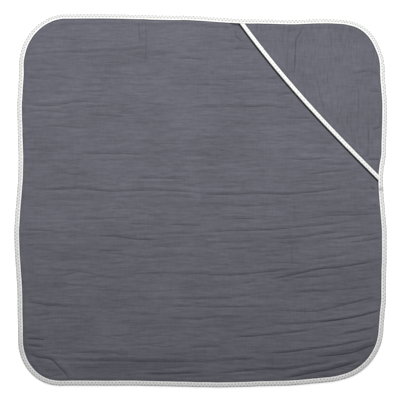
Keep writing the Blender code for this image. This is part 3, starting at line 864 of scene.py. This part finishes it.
def hood_grid(side, columns, rows):
    """x and y over half a hood, ruled from its free edge (row 0) to the outline (last row).
    Columns run from the crossing to the line where the halves meet, exactly."""
    shares = np.linspace(0, 1, columns + 1)
    crossing = TOP_CROSSING if side == "left" else SIDE_CROSSING
    free_start = -FREE_START if side == "left" else 1 + FREE_START
    free = hood_line(free_start + (MIDDLE_SHARE - free_start) * shares,
                     HOOD_TAPE_WIDTH / 2 - CUT_INSET)
    rim_start = crossing + (RIM_START if side == "left" else -RIM_START)
    rim = edge_line(rim_start + (CORNER_U - rim_start) * shares, CUT_INSET)
    for line in (free, rim):
        settle = ease((shares - 0.93) / 0.07)[:, None]
        line -= settle * np.outer(from_fold(line[:, 0], line[:, 1]), FOLD_RIGHT)
    t = np.linspace(0, 1, rows + 1)[:, None, None]
    flat = (1 - t) * free[None] + t * rim[None]
    if side == "right":
        flat = flat[:, ::-1]
    return flat[..., 0], flat[..., 1]


def hood_level(x, y, seam, middle, free):
    """A level that runs high in the outer seam, low in the middle and between at the free edge."""
    depth, inside = edge_depth(x, y), hood_depth(x, y)
    near_seam = 1 - ease((depth - 10.5) / 16.0)
    near_free = 1 - ease((inside - HOOD_TAPE_WIDTH - 0.5) / 12.0)
    level = middle + (free - middle) * near_free
    near_fold = 1 - ease((np.abs(from_fold(x, y)) - 4) / 22)
    seam = seam + (middle + 0.1 - seam) * near_fold
    return level + (seam - level) * near_seam, depth, inside


def hood_relief(x, y, depth, inside, creases):
    slow = 0.34 * streaks(y, x, 90, 19, 61) + 0.13 * streaks(y, x, 50, 8.0, 62)
    relief = slow + 0.12 * streaks(x, y, 34, 6.0, 63) + 0.08 * streaks(x, y, 18, 4.4, 64)
    shade, aside = press_creases(x, y, creases, relief)
    held, puff, shown = beside_tape(np.minimum(depth, inside + TAPE_WIDTH - HOOD_TAPE_WIDTH), 0.35)
    flatter = 0.4 + 0.6 * ease((np.abs(from_fold(x, y)) - 1) / 9)
    return np.clip((relief + 0.3) * held + puff, 0.0, 2.2) * flatter, shade * shown, aside


HOOD_GRID, LINING_GRID, HOOD_STEP = (148, 96), (76, 48), 4
HOOD_PLY, LINING_PLY = 0.38, 0.36
hood_cloths, hood_linings = {}, {}
for side in ("left", "right"):
    x, y = hood_grid(side, *HOOD_GRID)
    level, depth, inside = hood_level(x, y, seam=4.35, middle=3.15, free=3.85)
    relief, shade, aside = hood_relief(x, y, depth, inside, HOOD_CREASES + HOOD_SCATTERED)
    hood_cloths[side] = cloth_solid(f"hood_{side}_face_cloth", x, y, level + relief,
                                    level - HOOD_PLY, HOOD_STEP, (shade, aside, depth, inside))
    x, y = hood_grid(side, *LINING_GRID)
    level, depth, inside = hood_level(x, y, seam=3.15, middle=2.38, free=2.98)
    low_relief = -0.10 * streaks(y, x, 46, 9, 65) * ease((np.minimum(depth, inside) - 9) / 8)
    hood_linings[side] = cloth_solid(
        f"hood_{side}_lining_cloth", x, y, level + LINING_PLY, level + low_relief, HOOD_STEP,
        (np.zeros(x.shape), np.full(x.shape, FAR_ASIDE), depth, inside), fine_side_up=False)
    print(side, "hood cloth", len(hood_cloths[side].data.polygons), "faces, lining",
          len(hood_linings[side].data.polygons))

# %% The hood tape
HOOD_TAPE_LOW, HOOD_TAPE_TOP = 2.45, 5.15
HOOD_STATIONS = 190
TUCKED = 0.012                  # the share of the free edge that is hidden in each edge seam
hood_tapes, hood_stitches = {}, {}
free_length = np.linalg.norm(np.diff(hood_line(np.linspace(0, 1, 200)), axis=0), axis=1).sum()
HOOD_PERIOD = free_length / round(free_length / HOOD_HOLE_PERIOD)
for side in ("left", "right"):
    shares = np.linspace(-TUCKED if side == "left" else 1 + TUCKED, MIDDLE_SHARE, HOOD_STATIONS)
    if side == "right":
        shares = shares[::-1]
    fold = hood_line(shares, HOOD_TAPE_WIDTH / 2)
    inward = (hood_line(shares, -HOOD_TAPE_WIDTH / 2) - fold) / HOOD_TAPE_WIDTH
    along = shares * free_length
    depths, heights = tape_section(np.full(HOOD_STATIONS, HOOD_TAPE_LOW),
                                   np.full(HOOD_STATIONS, HOOD_TAPE_TOP))
    depths *= HOOD_TAPE_WIDTH / TAPE_WIDTH
    heights -= dimples(along, depths, HOOD_HOLE_ROWS, HOOD_PERIOD)
    heights[:, :len(TOP_DEPTHS)] += pucker(along, 0.14, 53)
    flat = fold[:, None] + inward[:, None] * depths[..., None]
    tangent = np.stack((-inward[:, 1], inward[:, 0]), axis=1)
    off = from_fold(flat[..., 0], flat[..., 1])
    rate = tangent @ FOLD_RIGHT
    near_middle = ease(1 - np.abs(shares - MIDDLE_SHARE) / 0.05)
    flat -= (off / rate[:, None] * near_middle[:, None])[..., None] * tangent[:, None]
    hood_tapes[side] = tape_mesh(f"hood_{side}_tape", flat, heights, depths, along, closed=False)
    first, last = ((TUCKED, MIDDLE_SHARE - 0.003) if side == "left"
                   else (MIDDLE_SHARE + 0.003, 1 - TUCKED))
    shares = (np.arange(round(free_length / STITCH_PITCH)) + 0.5) * STITCH_PITCH / free_length
    shares = shares[(shares > first) & (shares < last)]
    places = hood_line(shares, HOOD_TAPE_WIDTH / 2 - STITCH_DEPTH * HOOD_TAPE_WIDTH / TAPE_WIDTH)
    steps = hood_line(shares + 0.001) - hood_line(shares - 0.001)
    directions = steps / np.linalg.norm(steps, axis=1)[:, None]
    hood_stitches[side] = stitches(f"hood_{side}_stitches", places, directions,
                                   np.full(len(places), HOOD_TAPE_TOP - NEEDLE_SINK))
print("hood tapes ready, free edge", round(free_length), "mm long")

# %% [markdown]
# ## The care label
#
# Most towels have a small woven label caught in the tape on the underside. This one is
# blank. It is a thin satin strip that lies under the back ply and curls a little at its end.

# %% A blank label
LABEL_U = run_start(6) + RUNS[6][1].y + 0.30 * TOWEL_LENGTH / 2
LABEL_WIDTH, LABEL_REACH, LABEL_THICKNESS = 30.0, 45.0, 0.16
start = edge_line((LABEL_U,), TAPE_WIDTH - 2.0)[0]
inward = np.array(edge_inward(LABEL_U))
across = np.array((-inward[1], inward[0]))
s, t = np.meshgrid(np.linspace(-0.5, 0.5, 21), np.linspace(0, 1, 33))
x = start[0] + inward[0] * (LABEL_REACH + 2) * t + across[0] * LABEL_WIDTH * s
y = start[1] + inward[1] * (LABEL_REACH + 2) * t + across[1] * LABEL_WIDTH * s
curl = 0.12 * t ** 3 * (1 + 0.5 * np.cos(6 * s)) + 0.05 * streaks(x, y, 11, 8, 71)
level = 0.42 - 0.12 * t - curl + swell(x, y)
x, y, level = x[:, ::-1], y[:, ::-1], level[:, ::-1]
care_label = cloth_solid("blank_care_label", x, y, level + LABEL_THICKNESS, level, 1)
print("label", LABEL_WIDTH, "by", LABEL_REACH, "mm")

# %% [markdown]
# ## Finishes
#
# Muslin is matt and dark, and its open weave and fine crinkle show as slight streaks that
# run with the wrinkles. The streaks come from stretched noise on the flat pattern, and they
# feed both the colour and the bump. The deep creases were stored on the mesh, and the colour
# is darkened along them as painted shade. Painted shade also darkens the seam beside the
# tape, and a painted shadow lies beside the hood's free edge.

# %% Helpers for node trees
class Paint:
    """Adds nodes to one tree in a line and joins them up."""

    def __init__(self, tree):
        self.tree = tree

    def node(self, kind, **settings):
        made = self.tree.nodes.new(kind)
        for title, value in settings.items():
            setattr(made, title, value)
        return made

    def feed(self, socket, value):
        if isinstance(value, bpy.types.NodeSocket):
            self.tree.links.new(value, socket)
        else:
            socket.default_value = value

    def math(self, operation, *values):
        made = self.node("ShaderNodeMath", operation=operation)
        for socket, value in zip(made.inputs, values):
            self.feed(socket, value)
        return made.outputs[0]

    def times(self, first, *others):
        for other in others:
            first = self.math("MULTIPLY", first, other)
        return first

    def attribute(self, name):
        return self.node("ShaderNodeAttribute", attribute_type="GEOMETRY",
                         attribute_name=name).outputs["Fac"]

    def noise(self, vector, scale, detail=2.0, roughness=0.5):
        """Two-dimensional noise, with its cells per metre given along each way."""
        mapping = self.node("ShaderNodeMapping")
        self.feed(mapping.inputs["Vector"], vector)
        set_sockets(mapping, {"Scale": (*scale, 1.0)})
        made = self.node("ShaderNodeTexNoise", noise_dimensions="2D")
        self.feed(made.inputs["Vector"], mapping.outputs[0])
        set_sockets(made, {"Scale": 1.0, "Detail": detail, "Roughness": roughness})
        return made.outputs["Fac"]

    def remap(self, value, from_low, from_high, to_low=0.0, to_high=1.0, smooth=False):
        made = self.node("ShaderNodeMapRange",
                         interpolation_type="SMOOTHSTEP" if smooth else "LINEAR")
        for socket, number in zip(made.inputs[:5], (value, from_low, from_high, to_low, to_high)):
            self.feed(socket, number)
        return made.outputs["Result"]

    def mix(self, factor, first, second, blend="MIX"):
        made = self.node("ShaderNodeMix", data_type="RGBA", blend_type=blend)
        self.feed(made.inputs[0], factor)
        self.feed(made.inputs[6], first)
        self.feed(made.inputs[7], second)
        return made.outputs[2]

    def toned(self, colour, tone):
        """A colour multiplied by a grey tone."""
        grey = self.node("ShaderNodeCombineXYZ")
        for socket in grey.inputs:
            self.feed(socket, tone)
        return self.mix(1.0, colour, grey.outputs[0], "MULTIPLY")

    def bump(self, shader, height, distance, strength=1.0):
        made = self.node("ShaderNodeBump")
        set_sockets(made, {"Strength": strength, "Distance": distance})
        self.feed(made.inputs["Height"], height)
        self.feed(shader.inputs["Normal"], made.outputs[0])


def node_group(title, inputs, outputs):
    """An empty shader group with named sockets: (name, kind, default) and (name, kind)."""
    tree = bpy.data.node_groups.new(title, "ShaderNodeTree")
    for name, kind, default in inputs:
        socket = tree.interface.new_socket(name=name, in_out="INPUT",
                                           socket_type="NodeSocket" + kind)
        if default is not None:
            socket.default_value = default
    for name, kind in outputs:
        tree.interface.new_socket(name=name, in_out="OUTPUT", socket_type="NodeSocket" + kind)
    paint = Paint(tree)
    return tree, paint, paint.node("NodeGroupInput").outputs, paint.node("NodeGroupOutput").inputs


def use_group(paint, tree, **values):
    made = paint.node("ShaderNodeGroup")
    made.node_tree = tree
    for name, value in values.items():
        paint.feed(made.inputs[name.replace("_", " ")], value)
    return made.outputs


def start_material(title):
    made = bpy.data.materials.new(title)
    made.use_nodes = True
    paint = Paint(made.node_tree)
    shader = made.node_tree.nodes["Principled BSDF"]
    pattern = paint.node("ShaderNodeUVMap", uv_map="pattern").outputs[0]
    return made, paint, shader, pattern

# %% Woven cloth
weave_tree, paint, given, result = node_group(
    "plain_weave", (("Pattern", "Vector", None), ("Threads per metre", "Float", 900.0)),
    (("Height", "Float"), ("Thread", "Float")))
split = paint.node("ShaderNodeSeparateXYZ")
paint.feed(split.inputs[0], given["Pattern"])
turns = paint.times(given["Threads per metre"], math.pi)
warp = paint.math("ABSOLUTE", paint.math("SINE", paint.times(split.outputs[0], turns)))
weft = paint.math("ABSOLUTE", paint.math("SINE", paint.times(split.outputs[1], turns)))
paint.feed(result["Height"], paint.times(warp, weft))
paint.feed(result["Thread"], paint.noise(given["Pattern"], (420.0, 900.0), 1.0))

# %% Crinkled muslin
crinkle_tree, paint, given, result = node_group(
    "muslin_crinkle", (("Pattern", "Vector", None), ("Upright", "Float", 0.0)),
    (("Height", "Float"), ("Streaks", "Float"), ("Mottle", "Float"), ("Lines", "Float")))
level_way = paint.noise(given["Pattern"], (30.0, 230.0), 3.0, 0.55)
fine_way = paint.noise(given["Pattern"], (75.0, 520.0), 2.0, 0.5)
up_way = paint.noise(given["Pattern"], (260.0, 48.0), 2.0, 0.5)
upright_share = paint.remap(given["Upright"], 0.0, 1.0, 0.20, 0.75)
folds_way = paint.noise(given["Pattern"], (12.0, 88.0), 1.5, 0.5)
off_line = paint.math("ABSOLUTE", paint.math("SUBTRACT", folds_way, 0.5))
paint.feed(result["Lines"], paint.times(paint.remap(off_line, 0.0, 0.030, 1.0, 0.0, smooth=True),
                                        paint.remap(given["Upright"], 0.0, 1.0, 1.0, 0.0)))
blend = paint.node("ShaderNodeMix", data_type="FLOAT")
paint.feed(blend.inputs[0], upright_share)
paint.feed(blend.inputs[2],
           paint.math("ADD", paint.times(level_way, 0.65), paint.times(fine_way, 0.35)))
paint.feed(blend.inputs[3], up_way)
paint.feed(result["Height"], blend.outputs[0])
paint.feed(result["Streaks"], paint.remap(blend.outputs[0], 0.36, 0.64))
paint.feed(result["Mottle"], paint.noise(given["Pattern"], (9.0, 15.0), 2.0, 0.5))


MUSLIN_DARK, MUSLIN_LIGHT = (0.118, 0.119, 0.143, 1), (0.152, 0.153, 0.184, 1)
MUSLIN_SURFACE = {"Roughness": 0.95, "Specular IOR Level": 0.15, "Sheen Weight": 0.08,
                  "Sheen Roughness": 0.5, "Sheen Tint": (0.8, 0.82, 0.9, 1)}


def muslin(title, upright, seam_dark, gap_dark, gap_middle, gap_reach):
    """Dark crinkled double muslin. Upright turns its streaks. Its colour carries painted shade
    along its creases and in the seam at its rim, and a painted shadow in the gap beside the
    hood's free edge."""
    made, paint, shader, pattern = start_material(title)
    crinkle = use_group(paint, crinkle_tree, Pattern=pattern, Upright=upright)
    weave = use_group(paint, weave_tree, Pattern=pattern, Threads_per_metre=760.0)
    colour = paint.mix(crinkle["Streaks"], MUSLIN_DARK, MUSLIN_LIGHT)
    mottled = paint.remap(crinkle["Mottle"], 0.3, 0.7, 0.95, 1.05)
    slub = paint.remap(weave["Thread"], 0.3, 0.7, 0.96, 1.04)
    # Painted shade: the colour is darkened along each crease's core and along the fine fold lines.
    from_core = paint.math("ABSOLUTE", paint.attribute("aside"))
    core = paint.times(paint.remap(from_core, 0.2, 1.9, 1.0, 0.0, smooth=True),
                       paint.attribute("crease"))
    creased = paint.math("ADD", core, paint.times(crinkle["Lines"], 0.10))
    folded = paint.remap(creased, 0.0, 1.0, 1.0, 0.25)
    # Painted shade in the seam just inside the tape's inner edge.
    seam = paint.remap(paint.attribute("rim"), TAPE_WIDTH + 0.4, TAPE_WIDTH + 2.6, seam_dark, 1.0,
                       smooth=True)
    # Painted shadow beside the hood's free edge on the panel, and painted shade beside the hood
    # tape's inner edge on the hood.
    from_gap = paint.math("ABSOLUTE", paint.math("SUBTRACT", paint.attribute("gap"), gap_middle))
    gap_shadow = paint.remap(from_gap, *gap_reach, gap_dark, 1.0, smooth=True)
    paint.feed(shader.inputs["Base Color"],
               paint.toned(colour, paint.times(mottled, slub, folded, seam, gap_shadow)))
    set_sockets(shader, MUSLIN_SURFACE)
    height = paint.math("ADD", crinkle["Height"], paint.times(weave["Height"], 0.10))
    height = paint.math("SUBTRACT", height, paint.times(crinkle["Lines"], 0.16))
    height = paint.math("SUBTRACT", height, paint.times(core, 0.9))
    paint.bump(shader, height, 0.0008, 0.8)
    return made


# The panel gets painted seam shade and a near-black painted shadow beside the hood's free edge;
# the hood gets painted shade along its tape.
muslin_panel = muslin("muslin_panel", 0.0, 0.38, 0.12, 0.6, (1.9, 3.4))
muslin_hood = muslin("muslin_hood", 0.45, 0.5, 0.5, HOOD_TAPE_WIDTH, (0.3, 2.2))

# %% Knitted tape
holes_tree, paint, given, result = node_group(
    "knit_holes",
    (("Pattern", "Vector", None), ("Period", "Float", 0.00686), ("Row", "Float", 0.005),
     ("Phase", "Float", 0.0), ("Reach", "Float", 0.0012)), (("Mask", "Float"),))
split = paint.node("ShaderNodeSeparateXYZ")
paint.feed(split.inputs[0], given["Pattern"])
turn = paint.math("DIVIDE", split.outputs[0], given["Period"])
turn = paint.math("SUBTRACT", turn, given["Phase"])
turn = paint.math("SUBTRACT", paint.math("FRACT", paint.math("ADD", turn, 0.5)), 0.5)
squares = [paint.math("POWER", paint.math("ABSOLUTE", way), 2.0)
           for way in (paint.times(turn, given["Period"]),
                       paint.math("SUBTRACT", split.outputs[1], given["Row"]))]
away = paint.math("DIVIDE", paint.math("SQRT", paint.math("ADD", *squares)), given["Reach"])
paint.feed(result["Mask"], paint.remap(away, 0.45, 1.25, 1.0, 0.0, smooth=True))


def knitted_tape(title, rows, period, bright_from, bright_to, shaded_grey, hole):
    """White jersey tape with rows of holes. Its colour is painted light along its stitched edge
    and painted shade towards its fold and in its holes.
    """
    made, paint, shader, pattern = start_material(title)
    masks = [use_group(paint, holes_tree, Pattern=pattern, Period=period * MM, Row=row_depth * MM,
                       Phase=phase, Reach=HOLE_REACH * MM)["Mask"] for row_depth, phase in rows]
    mask = masks[0]
    for other in masks[1:]:
        mask = paint.math("MAXIMUM", mask, other)
    split = paint.node("ShaderNodeSeparateXYZ")
    paint.feed(split.inputs[0], pattern)
    # Painted light and shade across the tape: white along the stitched edge, a painted grey shade
    # towards the fold.
    lit_inner_strip = paint.remap(split.outputs[1], bright_from * MM, bright_to * MM, smooth=True)
    colour = paint.mix(lit_inner_strip, (shaded_grey, shaded_grey, shaded_grey * 0.985, 1), (0.97, 0.97, 0.96, 1))
    # Painted shade where the tape turns under at its fold.
    fold_edge_shade = paint.remap(split.outputs[1], 0.0, 1.1 * MM, 0.62, 0.0, smooth=True)
    colour = paint.mix(fold_edge_shade, colour, (0.45, 0.45, 0.45, 1))
    # Painted shade in the knitted holes.
    colour = paint.mix(paint.times(mask, 0.85), colour, (hole, hole, hole, 1))
    yarn = paint.noise(pattern, (700.0, 1100.0), 1.0)
    paint.feed(shader.inputs["Base Color"],
               paint.toned(colour, paint.remap(yarn, 0.3, 0.7, 0.95, 1.03)))
    set_sockets(shader, {"Roughness": 0.85, "Specular IOR Level": 0.2})
    paint.bump(shader, paint.math("SUBTRACT", yarn, mask), 0.0003, 0.5)
    return made


# The greys given here are painted shade: over the tape's outer part, and in its holes.
edge_knit = knitted_tape("edge_tape_knit", EDGE_HOLE_ROWS, EDGE_PERIOD, 6.9, 7.5, 0.80, 0.30)
hood_knit = knitted_tape("hood_tape_knit", HOOD_HOLE_ROWS, HOOD_PERIOD, 20.0, 21.0, 0.92, 0.52)

# %% Thread and label
thread_paint, paint, shader, pattern = start_material("sewing_thread")
twist = paint.noise(pattern, (2600.0, 1400.0), 0.0)
paint.feed(shader.inputs["Base Color"],
           paint.mix(twist, (0.74, 0.74, 0.73, 1), (0.93, 0.93, 0.92, 1)))
set_sockets(shader, {"Roughness": 0.6})

label_paint, paint, shader, pattern = start_material("label_satin")
ribs = use_group(paint, weave_tree, Pattern=pattern, Threads_per_metre=1400.0)
paint.feed(shader.inputs["Base Color"],
           paint.mix(ribs["Thread"], (0.80, 0.80, 0.78, 1), (0.92, 0.92, 0.90, 1)))
set_sockets(shader, {"Roughness": 0.45})
paint.bump(shader, ribs["Height"], 0.0001)
print("materials:", len(bpy.data.materials))

# %% [markdown]
# ## Dressing the pieces and hiding the imported parts
#
# The imported model folds along straight lines, but cloth bends over a few millimetres. Each
# piece here gets its material and keeps its place in the model's frame, and the imported
# parts that it stands for are hidden. The care label is attached to the left half's body.


def dress(piece, paint):
    piece.data.materials.append(paint)


for piece, paint, slot in ((face_cloth, muslin_panel, "muslin"),
                           (back_cloth, muslin_panel, "muslin"),
                           (edge_tape, edge_knit, "tape"),
                           (edge_stitches, thread_paint, "thread"),
                           (edge_bobbin, thread_paint, "thread")):
    dress(piece, paint)
    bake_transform(piece)
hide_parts("left_face_ply", "right_face_ply")
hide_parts("left_back_ply", "right_back_ply")
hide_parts("left_edge_tape", "right_edge_tape")
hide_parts("left_edge_thread", "right_edge_thread")
dress(care_label, label_paint)
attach(care_label, "left_half")
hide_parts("care_label")
for side in ("left", "right"):
    for piece, paint, slot in ((hood_cloths[side], muslin_hood, "muslin"),
                               (hood_linings[side], muslin_hood, "muslin"),
                               (hood_tapes[side], hood_knit, "tape"),
                               (hood_stitches[side], thread_paint, "thread")):
        dress(piece, paint)
        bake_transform(piece)
    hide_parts(side + "_hood_face", side + "_hood_margin_face")
    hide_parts(side + "_hood_lining", side + "_hood_margin_lining")
    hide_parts(side + "_hood_tape", side + "_hood_tape_end")
    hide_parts(side + "_hood_thread")

# %% The flat area of each cloth, worked out and not kept
def flat_area(piece):
    """The area of a cloth's flat pattern, in square metres: half of its closed outline's."""
    bm = bmesh.new()
    bm.from_mesh(piece.data)
    area = sum(abs(face.calc_area() * face.normal.z) for face in bm.faces) / 2
    bm.free()
    return area


def declare_cloth(piece):
    area = flat_area(piece)


declare_cloth(back_cloth)
declare_cloth(face_cloth)
for side in ("left", "right"):
    declare_cloth(hood_linings[side])
    declare_cloth(hood_cloths[side])
